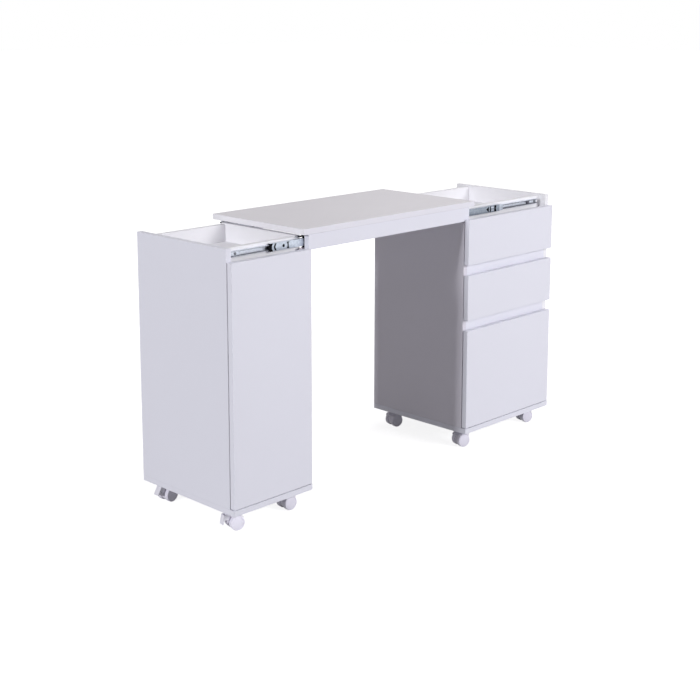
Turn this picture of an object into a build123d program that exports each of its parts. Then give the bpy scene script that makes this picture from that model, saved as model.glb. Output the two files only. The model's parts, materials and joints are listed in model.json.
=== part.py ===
from build123d import *
import os

# Extending sewing table on castors: two board pedestals carried by one sliding top.
# Millimetres, +Z up, front faces -Y, origin on the floor under the middle of the open table.

# ---- boards ----
over = 1.0                # cutters run this far past a face
board_t = 16.0            # laminated board thickness
thin_t = 12.0             # drawer wrap thickness
bottom_t = 4.0            # drawer bottom sheet

# ---- overall ----
left_width = 277.0        # narrow pedestal with the door
right_width = 417.0       # wide pedestal with the drawers
side_depth = 364.0        # front-to-back size of the side panels
front_gap = 2.0           # air between side panels and fronts
castor_height = 56.0      # floor to underside of the base board
side_top = 750.0          # top of the two outer side panels
rail_drop = 5.0           # backs and front rails below the outer sides
inner_drop = 2.0          # two inner side panels below the outer sides
tray_depth = 48.0         # depth of the open tray at the top of each pedestal

# ---- sliding top ----
top_overhang = 4.0        # board past the aprons, front and rear
closed_overhang = 2.0     # board past each pedestal with the table shut
closed_gap = 2.0          # air between the two pedestals with the table shut
side_clear = 2.0          # board underside above the outer side panels
apron_height = 42.0
apron_inset = 19.0        # apron ends stand inside the board ends
apron_clear = 3.0         # inner side notch below the apron
rear_inset = 10.0         # rear apron ahead of the side panels' rear edges

# ---- fronts ----
front_reveal = 1.5        # fronts stand this far inside the pedestal width
front_bottom = 74.0
shallow_front = 137.0     # height of the two shallow drawer fronts
finger_gap = 32.0         # open gap between drawer fronts
front_drop = 29.0         # tops of the fronts below the front rails
rail_lap = 6.0            # cross rail hidden behind the front above and below

# ---- ball slides between top and pedestals ----
slide_height = 27.0
middle_height = 20.0
inner_height = 15.0
middle_short = 8.0        # middle member ends inside the other two
slide_depth = 12.0        # apron face to rail face
slide_gauge = 1.2
slide_drop = 15.5         # slide centre below the front rail's top
race_gap = 0.3            # running gap along a ball race
race_half = 3.2           # half height of the pressed rib on the middle member
rib_end = 6.0             # rib ends inside the member
rib_rise = 0.5            # rib proud of the member's web
outer_setback = 3.0       # flanges end short of the opposite face
middle_setback = 1.8
inner_setback = 0.6       # inner flanges end clear of the middle member's web
left_slide_inset = 8.0    # slide end to the outer panel's inner face
right_slide_inset = 14.0
left_slide_end = 3.0      # other slide end to the pedestal's inner face
right_slide_end = 7.0
left_over_travel = 16.0   # travel beyond the length of the slide
right_over_travel = -2.0
access_radius = 3.2       # screwdriver hole in the middle member
access_depth = 8.0
access_inset = 53.0
screw_radius = 2.4        # screw holes of the other members
outer_screw_inset = 30.0
inner_screw_inset = 16.0

# ---- drawers ----
runner_gap = 12.5         # room for a runner on each side of a drawer
drawer_back_gap = 12.0    # drawer to the back panel
runner_setback = 4.0      # runner ends inside the cabinet's front edge and the drawer's back
runner_height = 27.0
runner_depth = 9.0        # how far a runner's flanges reach
runner_rise = 40.0        # runner centre above the lower edge of the wrap
groove_depth = 6.0
bottom_rise = 10.0        # bottom sheet above the lower edge of the wrap
sheet_clear = 0.2
wrap_lift = 7.0           # wrap above the rail behind its front
wrap_headroom = 8.0       # wrap below the board above it
deep_lift = 9.0           # bottom drawer wrap above the base board
deep_drop = 70.0          # bottom drawer wrap below the top of its front

# ---- castors ----
wheel_radius = 20.0
wheel_width = 14.0
wheel_gap = 14.0          # space between the twin wheels
wheel_round = 2.5         # rounded tread corners
rim_width = 5.0
dish_depth = 1.0
hub_radius = 6.0
trail = 16.0              # axle behind the swivel stem
stem_radius = 4.0
stem_cover = 1.0          # stem end below the top of the base board
axle_radius = 3.0
running_fit = 0.06
core_clear = 0.4          # fork plate to wheel, each side
core_inset = 3.0          # fork plate inside the tread
neck_back = 2.0           # neck ends ahead of the axle, shoulder starts there
shoulder_reach = 8.0      # shoulder under the hood ends behind the axle
hood_gap = 1.2
hood_t = 1.6
hood_front = 14.0         # hood reaches ahead of the axle
hood_back = 17.0
hood_low = 12.0           # hood ends above the axle
collar_radius = 9.0
collar_height = 9.0
collar_clear = 0.4        # collar below the base board
neck_front = 10.0         # fork neck ahead of the stem
neck_drop = 6.0           # fork neck below the base board
castor_side_inset = 28.0  # stem in from the base's ends
castor_front_inset = 55.0
castor_rear_inset = 50.0
inner_side_inset = 56.0   # wide pedestal's inner castors, clear of the other pedestal's when shut
inner_front_inset = 47.0
inner_rear_inset = 55.0

# ---- castor brake ----
lever_pin = 1.5
lever_pivot = 6.0         # pin ahead of the stem
lever_rise = 14.0         # pin above the axle
lever_half = 9.2          # half width of the pedal
lever_cheek = 2.0
lever_t = 3.0
cheek_end = 2.5           # cheek past the pin
cheek_half = 3.5          # cheek below the pin
pedal_start = 15.5        # top of the pedal ahead of the stem
pedal_slope = 4.5         # how far the pedal leans outwards
pedal_top = 10.0          # above the pin
pedal_drop = 15.0         # below the pin
lever_swing = 20.0        # pressed to released

# ---- door hinges ----
cup_radius = 17.4
cup_bore = 17.5
cup_depth = 11.5
cup_bore_depth = 12.0
cup_wall = 1.2
cup_setback = 22.5        # cup centre from the hinge edge of the door
flange_rim = 2.0
flange_t = 1.2
ear_half = 6.0
ear_reach = 30.0
link_t = 5.0
link_start = 1.0          # link begins this far on the hinge side of the cup's centre
link_reach = 14.0         # link end behind the side panel's front edge
link_clear = 0.3
hinge_from_end = 100.0
foot_t = 3.5
foot_start = 25.0
foot_length = 35.0
foot_half = 24.0
arm_start = 0.6
arm_end = 75.0
arm_half = 8.0
arm_t = 1.5
arm_depth = 11.5

# ---- shelf ----
shelf_z = 384.0
shelf_front = 20.0        # shelf behind the side panels' front edge
shelf_back = 2.0
shelf_side = 0.5
pin_radius = 2.5
pin_fit = 0.02
pin_length = 15.0
pin_bore_depth = 8.0
pin_pitch = 32.0
pin_front = 60.0
pin_back = 50.0

# ---- derived planes ----
rail_top = side_top - rail_drop
inner_top = side_top - inner_drop
front_top = rail_top - front_drop
slide_z = rail_top - slide_drop
left_slide_length = left_width - board_t - left_slide_inset - left_slide_end
right_slide_length = right_width - board_t - right_slide_inset - right_slide_end
left_travel = left_slide_length + left_over_travel
right_travel = right_slide_length + right_over_travel
closed_length = left_width + closed_gap + right_width
open_length = closed_length + left_travel + right_travel
left_outer = -open_length / 2
left_inner = left_outer + left_width
left_in0 = left_outer + board_t
left_in1 = left_inner - board_t
right_outer = open_length / 2
right_inner = right_outer - right_width
right_in0 = right_inner + board_t
right_in1 = right_outer - board_t
overall_depth = board_t + front_gap + side_depth + top_overhang
front_face = -overall_depth / 2
front_back = front_face + board_t
side_front = front_back + front_gap
side_back = side_front + side_depth
rail_front = side_front + board_t + slide_depth
rear_apron_back = side_back - rear_inset
rear_apron_face = rear_apron_back - board_t
back_rear = rear_apron_face - slide_depth
back_front = back_rear - board_t
base_top = castor_height + board_t
tray_floor_top = rail_top - tray_depth
tray_floor_under = tray_floor_top - board_t
top_under = side_top + side_clear
top_face = top_under + board_t
apron_under = top_under - apron_height
notch_z = apron_under - apron_clear
top_left_end = left_outer + left_travel - closed_overhang
top_right_end = right_outer - right_travel + closed_overhang
first_bottom = front_top - shallow_front
second_top = first_bottom - finger_gap
second_bottom = second_top - shallow_front
third_top = second_bottom - finger_gap
lever_pivot_z = wheel_radius + lever_rise


def slab(x0, x1, y0, y1, z0, z1):
    """A board between two corners."""
    centre = Pos((x0 + x1) / 2, (y0 + y1) / 2, (z0 + z1) / 2)
    return centre * Box(x1 - x0, y1 - y0, z1 - z0)


def rod(radius, length, at, axis):
    """A round bar centred at a point along X, Y or Z."""
    turn = {"X": Rot(0, 90, 0), "Y": Rot(90, 0, 0), "Z": Rot(0, 0, 0)}[axis]
    return Pos(*at) * turn * Cylinder(radius, length)


def save(shape, node):
    export_step(shape, "parts/" + node + ".step")


# ---------------- pedestals ----------------

def base_board(x0, x1):
    """Board bored for the stems of the castors that stand under it."""
    base = slab(x0, x1, front_face, side_back, castor_height, base_top)
    for x, y, turn, lift in castor_places.values():
        if x0 < x < x1:
            base -= rod(stem_radius + running_fit, 3 * board_t, (x, y, castor_height), "Z")
    return base


def outer_side(x0, x1):
    return slab(x0, x1, side_front, side_back, base_top, side_top)


def inner_side(x0, x1):
    """Side panel notched at its top corners so that the aprons pass."""
    side = slab(x0, x1, side_front, side_back, base_top, inner_top)
    side -= slab(x0 - over, x1 + over, side_front - over, rail_front, notch_z, inner_top + over)
    side -= slab(x0 - over, x1 + over, back_rear, side_back + over, notch_z, inner_top + over)
    return side


def back_panel(x0, x1):
    return slab(x0, x1, back_front, back_rear, base_top, rail_top)


def tray_floor(x0, x1):
    return slab(x0, x1, rail_front, back_front, tray_floor_under, tray_floor_top)


def front_rail(x0, x1):
    return slab(x0, x1, rail_front, rail_front + board_t, tray_floor_top, rail_top)


def cross_rail(z0, z1):
    """Rail that closes the gap between two drawer fronts."""
    return slab(right_in0, right_in1, side_front, side_front + board_t, z0 - rail_lap, z1 + rail_lap)


def pin_depths():
    """Front and rear rows of the shelf pin holes."""
    return side_front + pin_front, back_front - pin_back


def bored_for_pins(side, x):
    """A side panel with two rows of shelf pin holes bored from the face at x."""
    for step in (-2, -1, 0, 1, 2):
        for y in pin_depths():
            z = shelf_z - pin_radius + step * pin_pitch
            side -= rod(pin_radius, 2 * pin_bore_depth, (x, y, z), "X")
    return side


def shelf_pins(x0, x1):
    """Four pins under the shelf, half of each in the side panel."""
    pins = []
    for x in (x0, x1):
        for y in pin_depths():
            pins.append(rod(pin_radius - pin_fit, pin_length, (x, y, shelf_z - pin_radius), "X"))
    return Compound(pins)


def shelf(x0, x1):
    return slab(x0 + shelf_side, x1 - shelf_side, side_front + shelf_front, back_front - shelf_back,
                shelf_z, shelf_z + board_t)


# ---------------- door ----------------

door_x0 = left_outer + front_reveal
door_x1 = left_inner - front_reveal
hinge_x = door_x0 + cup_setback
hinge_heights = (front_bottom + hinge_from_end, front_top - hinge_from_end)


def door_panel():
    door = slab(door_x0, door_x1, front_face, front_back, front_bottom, front_top)
    for z in hinge_heights:
        door -= rod(cup_bore, 2 * cup_bore_depth, (hinge_x, front_back, z), "Y")
    return door


def hinge_cups():
    """Pressed cup, flange and link of each concealed hinge, turning with the door."""
    cups = []
    cup_floor = front_back - cup_depth
    inside = cup_radius - cup_wall
    link_half = arm_half - arm_t - link_clear
    for z in hinge_heights:
        cup = rod(cup_radius, cup_depth, (hinge_x, front_back - cup_depth / 2, z), "Y")
        flange = rod(cup_radius + flange_rim, flange_t, (hinge_x, front_back + flange_t / 2, z), "Y")
        ears = slab(hinge_x - ear_half, hinge_x + ear_half, front_back, front_back + flange_t,
                    z - ear_reach, z + ear_reach)
        hollow = rod(inside, cup_depth + flange_t,
                     (hinge_x, cup_floor + cup_wall + (cup_depth + flange_t) / 2, z), "Y")
        link = slab(hinge_x - link_start, hinge_x - link_start + link_t, cup_floor, side_front + link_reach,
                    z - link_half, z + link_half)
        cups.append(cup + flange + ears - hollow + link)
    return Compound(cups)


def hinge_arms():
    """Channel arm and foot of each hinge, fixed inside the outer side panel."""
    arms = []
    foot_y = side_front + foot_start
    arm_x = left_in0 + foot_t
    arm_y0 = side_front + arm_start
    arm_y1 = side_front + arm_end
    for z in hinge_heights:
        foot = slab(left_in0, arm_x, foot_y, foot_y + foot_length, z - foot_half, z + foot_half)
        web = slab(arm_x, arm_x + arm_t, arm_y0, arm_y1, z - arm_half, z + arm_half)
        upper = slab(arm_x, arm_x + arm_depth, arm_y0, arm_y1, z + arm_half - arm_t, z + arm_half)
        lower = slab(arm_x, arm_x + arm_depth, arm_y0, arm_y1, z - arm_half, z - arm_half + arm_t)
        arms.append(foot + web + upper + lower)
    return Compound(arms)


# ---------------- ball slides ----------------

def channel(x0, x1, web_y, lip_y, height, z):
    """A rolled C channel along X: web at one depth, flanges reaching to the other."""
    gauge = slide_gauge if lip_y > web_y else -slide_gauge
    low, high = min(web_y, lip_y), max(web_y, lip_y)
    web0, web1 = min(web_y, web_y + gauge), max(web_y, web_y + gauge)
    half = height / 2
    shape = slab(x0, x1, web0, web1, z - half, z + half)
    shape += slab(x0, x1, low, high, z + half - slide_gauge, z + half)
    shape += slab(x0, x1, low, high, z - half, z - half + slide_gauge)
    return shape


def slide_bed(side):
    """Apron face of the slide and the way towards the rail, front or rear."""
    if side == "front":
        return side_front + board_t, 1.0
    return rear_apron_face, -1.0


def slide_holes(member, x0, x1, y, inset):
    for x in (x0 + inset, (x0 + x1) / 2, x1 - inset):
        member -= rod(screw_radius, 4 * slide_gauge, (x, y, slide_z), "Y")
    return member


def outer_member(x0, x1, side):
    """Wide channel screwed to the apron."""
    face, way = slide_bed(side)
    member = channel(x0, x1, face, face + way * (slide_depth - outer_setback), slide_height, slide_z)
    return slide_holes(member, x0, x1, face, outer_screw_inset)


def middle_member(x0, x1, side, access_x):
    """Channel between the two, with the rib that runs on the outer member."""
    face, way = slide_bed(side)
    web = slide_gauge + race_gap + rib_rise
    lip = slide_depth - middle_setback
    member = channel(x0, x1, face + way * web, face + way * lip, middle_height, slide_z)
    rib_y0, rib_y1 = sorted((face + way * (slide_gauge + race_gap), face + way * web))
    member += slab(x0 + rib_end, x1 - rib_end, rib_y0, rib_y1, slide_z - race_half, slide_z + race_half)
    return member - rod(access_radius, access_depth, (access_x, face + way * web, slide_z), "Y")


def inner_member(x0, x1, side):
    """Narrow channel screwed to the pedestal's rail."""
    face, way = slide_bed(side)
    lip = 2 * slide_gauge + 2 * race_gap + inner_setback
    member = channel(x0, x1, face + way * slide_depth, face + way * lip, inner_height, slide_z)
    return slide_holes(member, x0, x1, face + way * slide_depth, inner_screw_inset)


# ---------------- drawers ----------------

wrap_x0 = right_in0 + runner_gap
wrap_x1 = right_in1 - runner_gap
wrap_y1 = back_front - drawer_back_gap


def drawer_front(z0, z1):
    return slab(right_inner + front_reveal, right_outer - front_reveal, front_face, front_back, z0, z1)


def drawer_wrap(z0, z1):
    """Folded sides and back of a drawer in one grooved board."""
    reach = thin_t - groove_depth
    groove_z = z0 + bottom_rise
    wrap = slab(wrap_x0, wrap_x1, front_back, wrap_y1, z0, z1)
    wrap -= slab(wrap_x0 + thin_t, wrap_x1 - thin_t, front_back - over, wrap_y1 - thin_t,
                 z0 - over, z1 + over)
    wrap -= slab(wrap_x0 + reach, wrap_x1 - reach, front_back - over, wrap_y1 - reach,
                 groove_z, groove_z + bottom_t + 2 * sheet_clear)
    return wrap


def drawer_bottom(z0):
    reach = thin_t - groove_depth + sheet_clear
    low = z0 + bottom_rise + sheet_clear
    return slab(wrap_x0 + reach, wrap_x1 - reach, front_back, wrap_y1 - reach, low, low + bottom_t)


def runner(web_x, lip_x, half, z):
    """A straight C profile along Y."""
    gauge = slide_gauge if lip_x > web_x else -slide_gauge
    y0 = side_front + runner_setback
    y1 = wrap_y1 - runner_setback
    low, high = min(web_x, lip_x), max(web_x, lip_x)
    shape = slab(min(web_x, web_x + gauge), max(web_x, web_x + gauge), y0, y1, z - half, z + half)
    shape += slab(low, high, y0, y1, z + half - slide_gauge, z + half)
    shape += slab(low, high, y0, y1, z - half, z - half + slide_gauge)
    return shape


def cabinet_runners(z):
    """Outer runners on the pedestal's side panels."""
    half = runner_height / 2
    return [runner(right_in0, right_in0 + runner_depth, half, z),
            runner(right_in1, right_in1 - runner_depth, half, z)]


def drawer_runners(z):
    """Inner runners on the drawer's sides."""
    half = runner_height / 2 - slide_gauge - race_gap
    return Compound([runner(wrap_x0, wrap_x0 - runner_depth, half, z),
                     runner(wrap_x1, wrap_x1 + runner_depth, half, z)])


# ---------------- castors ----------------

def castor_fork(braked):
    """Core plate, hood, collar and stem; stem on the origin, wheels trailing along +X."""
    core_half = wheel_gap / 2 - core_clear
    width = wheel_gap + 2 * wheel_width
    hood_in = wheel_radius + hood_gap
    axle = (trail, 0, wheel_radius)
    disc = rod(wheel_radius - core_inset, 2 * core_half, axle, "Y")
    neck_top = castor_height - neck_drop
    neck = slab(-neck_front, trail - neck_back, -core_half, core_half, wheel_radius, neck_top)
    shoulder = slab(trail - neck_back, trail + shoulder_reach, -core_half, core_half,
                    wheel_radius, wheel_radius + hood_in)
    hood = rod(hood_in + hood_t, width, axle, "Y") - rod(hood_in, width + 2 * over, axle, "Y")
    hood &= slab(trail - hood_front, trail + hood_back, -width, width,
                 wheel_radius + hood_low, castor_height)
    fork = disc + neck + shoulder + hood
    collar_z = castor_height - collar_clear - collar_height / 2
    fork += rod(collar_radius, collar_height, (0, 0, collar_z), "Z")
    stem_top = base_top - stem_cover
    fork += rod(stem_radius, stem_top - collar_z, (0, 0, (stem_top + collar_z) / 2), "Z")
    fork -= rod(axle_radius + running_fit, 2 * width, axle, "Y")
    if braked:
        fork -= rod(lever_pin + running_fit, 2 * width, (-lever_pivot, 0, lever_pivot_z), "Y")
    return fork


def castor_wheels():
    """Two moulded wheels pressed on one axle."""
    axle = (trail, 0, wheel_radius)
    pieces = []
    for way in (-1, 1):
        middle = way * (wheel_gap + wheel_width) / 2
        face = way * (wheel_gap / 2 + wheel_width)
        wheel = rod(wheel_radius, wheel_width, (trail, middle, wheel_radius), "Y")
        wheel = fillet(wheel.edges().filter_by(GeomType.CIRCLE), wheel_round)
        dish = rod(wheel_radius - rim_width, 2 * dish_depth, (trail, face, wheel_radius), "Y")
        hub = rod(hub_radius, 4 * dish_depth, (trail, face, wheel_radius), "Y")
        wheel -= dish - hub
        wheel -= rod(axle_radius, 5 * wheel_width, axle, "Y")
        pieces.append(wheel)
    pieces.append(rod(axle_radius, wheel_gap + 2 * wheel_width - 2 * dish_depth, axle, "Y"))
    return Compound(pieces)


def brake_lever(lift):
    """Sloping foot pedal with two cheeks on a cross pin through the fork, raised by an angle."""
    pivot = (-lever_pivot, 0, lever_pivot_z)
    top = lever_pivot_z + pedal_top
    bottom = lever_pivot_z - pedal_drop
    outline = [(-pedal_start, top), (-pedal_start - lever_t, top),
               (-pedal_start - lever_t - pedal_slope, bottom), (-pedal_start - pedal_slope, bottom)]
    lever = extrude(Plane.XZ * Polygon(*outline, align=None), amount=lever_half, both=True)
    for y in (-lever_half, lever_half - lever_cheek):
        lever += slab(-pedal_start - lever_t / 2, -lever_pivot + cheek_end, y, y + lever_cheek,
                      lever_pivot_z - cheek_half, top)
    lever += rod(lever_pin, 2 * lever_half - lever_cheek, pivot, "Y")
    return Pos(*pivot) * Rot(0, lift, 0) * Pos(lever_pivot, 0, -lever_pivot_z) * lever


# stem position, turn about the stem, lift of the brake lever (None where the castor has no brake)
stem_front = front_face + castor_front_inset
stem_rear = side_back - castor_rear_inset
left_ends = (left_outer + castor_side_inset, left_inner - castor_side_inset)
right_ends = (right_inner + inner_side_inset, right_outer - castor_side_inset)
castor_places = {
    "left_front_outer": (left_ends[0], stem_front, -14.0, 0.0),
    "left_front_inner": (left_ends[1], stem_front, 175.0, None),
    "left_rear_outer": (left_ends[0], stem_rear, 4.0, lever_swing),
    "left_rear_inner": (left_ends[1], stem_rear, 172.0, None),
    "right_front_inner": (right_ends[0], front_face + inner_front_inset, 163.0, None),
    "right_front_outer": (right_ends[1], stem_front, 164.0, None),
    "right_rear_inner": (right_ends[0], side_back - inner_rear_inset, 168.0, None),
    "right_rear_outer": (right_ends[1], stem_rear, 158.0, None),
}


# ---------------- write every node ----------------

os.makedirs("parts", exist_ok=True)

# narrow pedestal
save(base_board(left_outer, left_inner), "left_base")
save(bored_for_pins(outer_side(left_outer, left_in0), left_in0), "left_outer_side")
save(bored_for_pins(inner_side(left_in1, left_inner), left_in1), "left_inner_side")
save(back_panel(left_in0, left_in1), "left_back")
save(tray_floor(left_in0, left_in1), "left_tray_floor")
save(front_rail(left_in0, left_in1), "left_front_rail")
save(shelf(left_in0, left_in1), "left_shelf")
save(shelf_pins(left_in0, left_in1), "left_shelf_pins")
save(hinge_arms(), "left_hinge_arms")
save(door_panel(), "door_panel")
save(hinge_cups(), "door_hinge_cups")

# wide pedestal
save(base_board(right_inner, right_outer), "right_base")
save(outer_side(right_in1, right_outer), "right_outer_side")
save(inner_side(right_inner, right_in0), "right_inner_side")
save(back_panel(right_in0, right_in1), "right_back")
save(tray_floor(right_in0, right_in1), "right_tray_floor")
save(front_rail(right_in0, right_in1), "right_front_rail")
save(cross_rail(second_top, first_bottom), "right_upper_cross_rail")
save(cross_rail(third_top, second_bottom), "right_lower_cross_rail")

# each drawer: lower and upper edge of its front, then of its wrap
wrap_above_rail = rail_lap + wrap_lift
drawers = {
    "top_drawer": (first_bottom, front_top, first_bottom + wrap_above_rail,
                   tray_floor_under - wrap_headroom),
    "middle_drawer": (second_bottom, second_top, second_bottom + wrap_above_rail,
                      second_top - rail_lap - wrap_headroom),
    "bottom_drawer": (front_bottom, third_top, base_top + deep_lift, third_top - deep_drop),
}
guides = []
for name, (front_z0, front_z1, wrap_z0, wrap_z1) in drawers.items():
    save(drawer_front(front_z0, front_z1), name + "_front")
    save(drawer_wrap(wrap_z0, wrap_z1), name + "_wrap")
    save(drawer_bottom(wrap_z0), name + "_bottom")
    save(drawer_runners(wrap_z0 + runner_rise), name + "_runners")
    guides += cabinet_runners(wrap_z0 + runner_rise)
save(Compound(guides), "right_drawer_guides")

# sliding top
board_y0 = side_front - top_overhang
board_y1 = side_back + top_overhang
save(slab(top_left_end, top_right_end, board_y0, board_y1, top_under, top_face), "top_board")
apron_x0 = top_left_end + apron_inset
apron_x1 = top_right_end - apron_inset
save(slab(apron_x0, apron_x1, side_front, side_front + board_t, apron_under, top_under), "front_apron")
save(slab(apron_x0, apron_x1, rear_apron_face, rear_apron_back, apron_under, top_under), "rear_apron")

# ball slides: inner members on the pedestals, outer members on the aprons, middle members half way
left_x0 = left_in0 + left_slide_inset
left_x1 = left_x0 + left_slide_length
right_x1 = right_in1 - right_slide_inset
right_x0 = right_x1 - right_slide_length
slide_runs = {
    "left": (left_x0, left_x1, left_travel, left_x0 + left_travel / 2 + access_inset),
    "right": (right_x0, right_x1, -right_travel, right_x1 - right_travel / 2 - access_inset),
}
for name, (x0, x1, travel, access_x) in slide_runs.items():
    half = travel / 2
    ends = ("front", "rear")
    mid_x0, mid_x1 = x0 + half + middle_short, x1 + half - middle_short
    save(Compound([inner_member(x0, x1, end) for end in ends]), name + "_slide_inners")
    save(Compound([middle_member(mid_x0, mid_x1, end, access_x) for end in ends]), name + "_slide_middles")
    save(Compound([outer_member(x0 + travel, x1 + travel, end) for end in ends]), name + "_slide_outers")

# castors
for name, (x, y, turn, lift) in castor_places.items():
    place = Pos(x, y, 0) * Rot(0, 0, turn)
    save(place * castor_fork(lift is not None), name + "_castor_fork")
    save(place * castor_wheels(), name + "_castor_wheels")
    if lift is not None:
        save(place * brake_lever(lift), name + "_brake_lever")
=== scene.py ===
import json
import math

import bmesh
import bpy
from mathutils import Matrix, Vector


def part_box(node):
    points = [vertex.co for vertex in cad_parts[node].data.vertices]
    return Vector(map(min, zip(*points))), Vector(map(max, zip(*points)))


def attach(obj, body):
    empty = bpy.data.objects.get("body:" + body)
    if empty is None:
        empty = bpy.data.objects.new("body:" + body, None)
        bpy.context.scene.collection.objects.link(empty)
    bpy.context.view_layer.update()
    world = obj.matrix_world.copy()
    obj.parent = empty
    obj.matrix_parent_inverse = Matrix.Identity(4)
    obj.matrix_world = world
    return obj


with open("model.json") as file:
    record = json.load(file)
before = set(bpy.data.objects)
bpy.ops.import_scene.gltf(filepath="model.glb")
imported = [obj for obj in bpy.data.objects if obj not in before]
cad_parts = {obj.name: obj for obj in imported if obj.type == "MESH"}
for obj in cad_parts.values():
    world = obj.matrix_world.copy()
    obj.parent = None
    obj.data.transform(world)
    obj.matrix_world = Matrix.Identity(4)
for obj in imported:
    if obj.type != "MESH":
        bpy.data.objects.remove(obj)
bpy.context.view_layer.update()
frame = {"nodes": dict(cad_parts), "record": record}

MM = 0.001
nodes = frame["nodes"]


# ------------------------------------------------------------------ shader node helpers

def node_group(name, inputs, outputs):
    """An empty shader node group with typed sockets; returns the group, its input and its output node."""
    group = bpy.data.node_groups.new(name, "ShaderNodeTree")
    for label, kind, value in inputs:
        socket = group.interface.new_socket(label, in_out="INPUT", socket_type="NodeSocket" + kind)
        if value is not None:
            socket.default_value = value
    for label, kind in outputs:
        group.interface.new_socket(label, in_out="OUTPUT", socket_type="NodeSocket" + kind)
    return group, group.nodes.new("NodeGroupInput"), group.nodes.new("NodeGroupOutput")


def feed(tree, source, target):
    """Joins an output to an input, or sets the input to a plain value."""
    if isinstance(source, bpy.types.NodeSocket):
        tree.links.new(source, target)
    else:
        target.default_value = source


def math_node(tree, operation, first, second=None, clamp=False):
    node = tree.nodes.new("ShaderNodeMath")
    node.operation = operation
    node.use_clamp = clamp
    feed(tree, first, node.inputs[0])
    if second is not None:
        feed(tree, second, node.inputs[1])
    return node.outputs[0]


def map_range(tree, value, low, high, to_low=0.0, to_high=1.0):
    node = tree.nodes.new("ShaderNodeMapRange")
    node.interpolation_type = "SMOOTHSTEP"
    feed(tree, value, node.inputs["Value"])
    for label, number in (("From Min", low), ("From Max", high), ("To Min", to_low), ("To Max", to_high)):
        feed(tree, number, node.inputs[label])
    return node.outputs["Result"]


def mix_colour(tree, factor, first, second, blend="MIX"):
    node = tree.nodes.new("ShaderNodeMix")
    node.data_type = "RGBA"
    node.blend_type = blend
    feed(tree, factor, node.inputs[0])
    feed(tree, first, node.inputs[6])
    feed(tree, second, node.inputs[7])
    return node.outputs[2]


def noise(tree, vector, scale, detail=3.0, roughness=0.5):
    node = tree.nodes.new("ShaderNodeTexNoise")
    feed(tree, vector, node.inputs["Vector"])
    feed(tree, scale, node.inputs["Scale"])
    node.inputs["Detail"].default_value = detail
    node.inputs["Roughness"].default_value = roughness
    return node.outputs["Fac"]


def object_place(tree):
    return tree.nodes.new("ShaderNodeTexCoord").outputs["Object"]


def stretched(tree, vector, scale):
    node = tree.nodes.new("ShaderNodeMapping")
    feed(tree, vector, node.inputs["Vector"])
    node.inputs["Scale"].default_value = scale
    return node.outputs["Vector"]


def make_mottle():
    """Slow and fine changes of tone over a surface."""
    group, given, result = node_group(
        "tone_mottle",
        [("Colour", "Color", None), ("Amount", "Float", 0.03), ("Patch Size", "Float", 4.0)],
        [("Colour", "Color"), ("Mask", "Float")])
    place = object_place(group)
    slow = noise(group, place, given.outputs["Patch Size"], 2.0)
    fine = noise(group, place, math_node(group, "MULTIPLY", given.outputs["Patch Size"], 37.0), 4.0)
    mask = math_node(group, "ADD", math_node(group, "MULTIPLY", slow, 0.7),
                     math_node(group, "MULTIPLY", fine, 0.3))
    swing = math_node(group, "SUBTRACT", mask, 0.5)
    gain = math_node(group, "ADD", 1.0, math_node(group, "MULTIPLY", swing, given.outputs["Amount"]))
    tone = group.nodes.new("ShaderNodeCombineXYZ")
    for axis in range(3):
        feed(group, gain, tone.inputs[axis])
    feed(group, mix_colour(group, 1.0, given.outputs["Colour"], tone.outputs[0], "MULTIPLY"),
         result.inputs["Colour"])
    feed(group, mask, result.inputs["Mask"])
    return group


def make_edge_mask():
    """1 at an edge and 0 one reach away from it, with a thin ring between for a joint line."""
    group, given, result = node_group(
        "edge_mask",
        [("Reach", "Float", 0.0015), ("Break Up", "Float", 0.4)],
        [("Edge", "Float"), ("Joint Line", "Float")])
    bevel = group.nodes.new("ShaderNodeBevel")
    bevel.samples = 6
    feed(group, given.outputs["Reach"], bevel.inputs["Radius"])
    plain = group.nodes.new("ShaderNodeNewGeometry").outputs["Normal"]
    dot = group.nodes.new("ShaderNodeVectorMath")
    dot.operation = "DOT_PRODUCT"
    feed(group, bevel.outputs["Normal"], dot.inputs[0])
    feed(group, plain, dot.inputs[1])
    bend = math_node(group, "SUBTRACT", 1.0, dot.outputs["Value"])
    uneven = noise(group, object_place(group), 60.0, 4.0, 0.6)
    worn = math_node(group, "MULTIPLY", math_node(group, "SUBTRACT", uneven, 0.5), given.outputs["Break Up"])
    feed(group, map_range(group, math_node(group, "ADD", bend, math_node(group, "MULTIPLY", worn, bend)),
                          0.04, 0.26), result.inputs["Edge"])
    rise = map_range(group, bend, 0.0015, 0.006)
    fall = map_range(group, bend, 0.02, 0.05, 1.0, 0.0)
    feed(group, math_node(group, "MULTIPLY", rise, fall), result.inputs["Joint Line"])
    return group


def make_laminate_pore():
    """Heights of a pressed laminate face: fine pearl dimples, faint long strokes and a slow ripple."""
    group, given, result = node_group(
        "laminate_pore",
        [("Dimple Size", "Float", 900.0), ("Stroke", "Float", 0.35)],
        [("Height", "Float"), ("Gloss Change", "Float")])
    place = object_place(group)
    cells = group.nodes.new("ShaderNodeTexVoronoi")
    cells.feature = "SMOOTH_F1"
    feed(group, place, cells.inputs["Vector"])
    feed(group, given.outputs["Dimple Size"], cells.inputs["Scale"])
    strokes = noise(group, stretched(group, place, (420.0, 420.0, 9.0)), 1.0, 3.0)
    ripple = noise(group, place, 7.0, 1.0)
    height = math_node(group, "ADD", math_node(group, "MULTIPLY", cells.outputs["Distance"], 0.5),
                       math_node(group, "MULTIPLY", strokes, given.outputs["Stroke"]))
    feed(group, math_node(group, "ADD", height, math_node(group, "MULTIPLY", ripple, 0.25)),
         result.inputs["Height"])
    feed(group, noise(group, place, 11.0, 5.0, 0.65), result.inputs["Gloss Change"])
    return group


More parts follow.
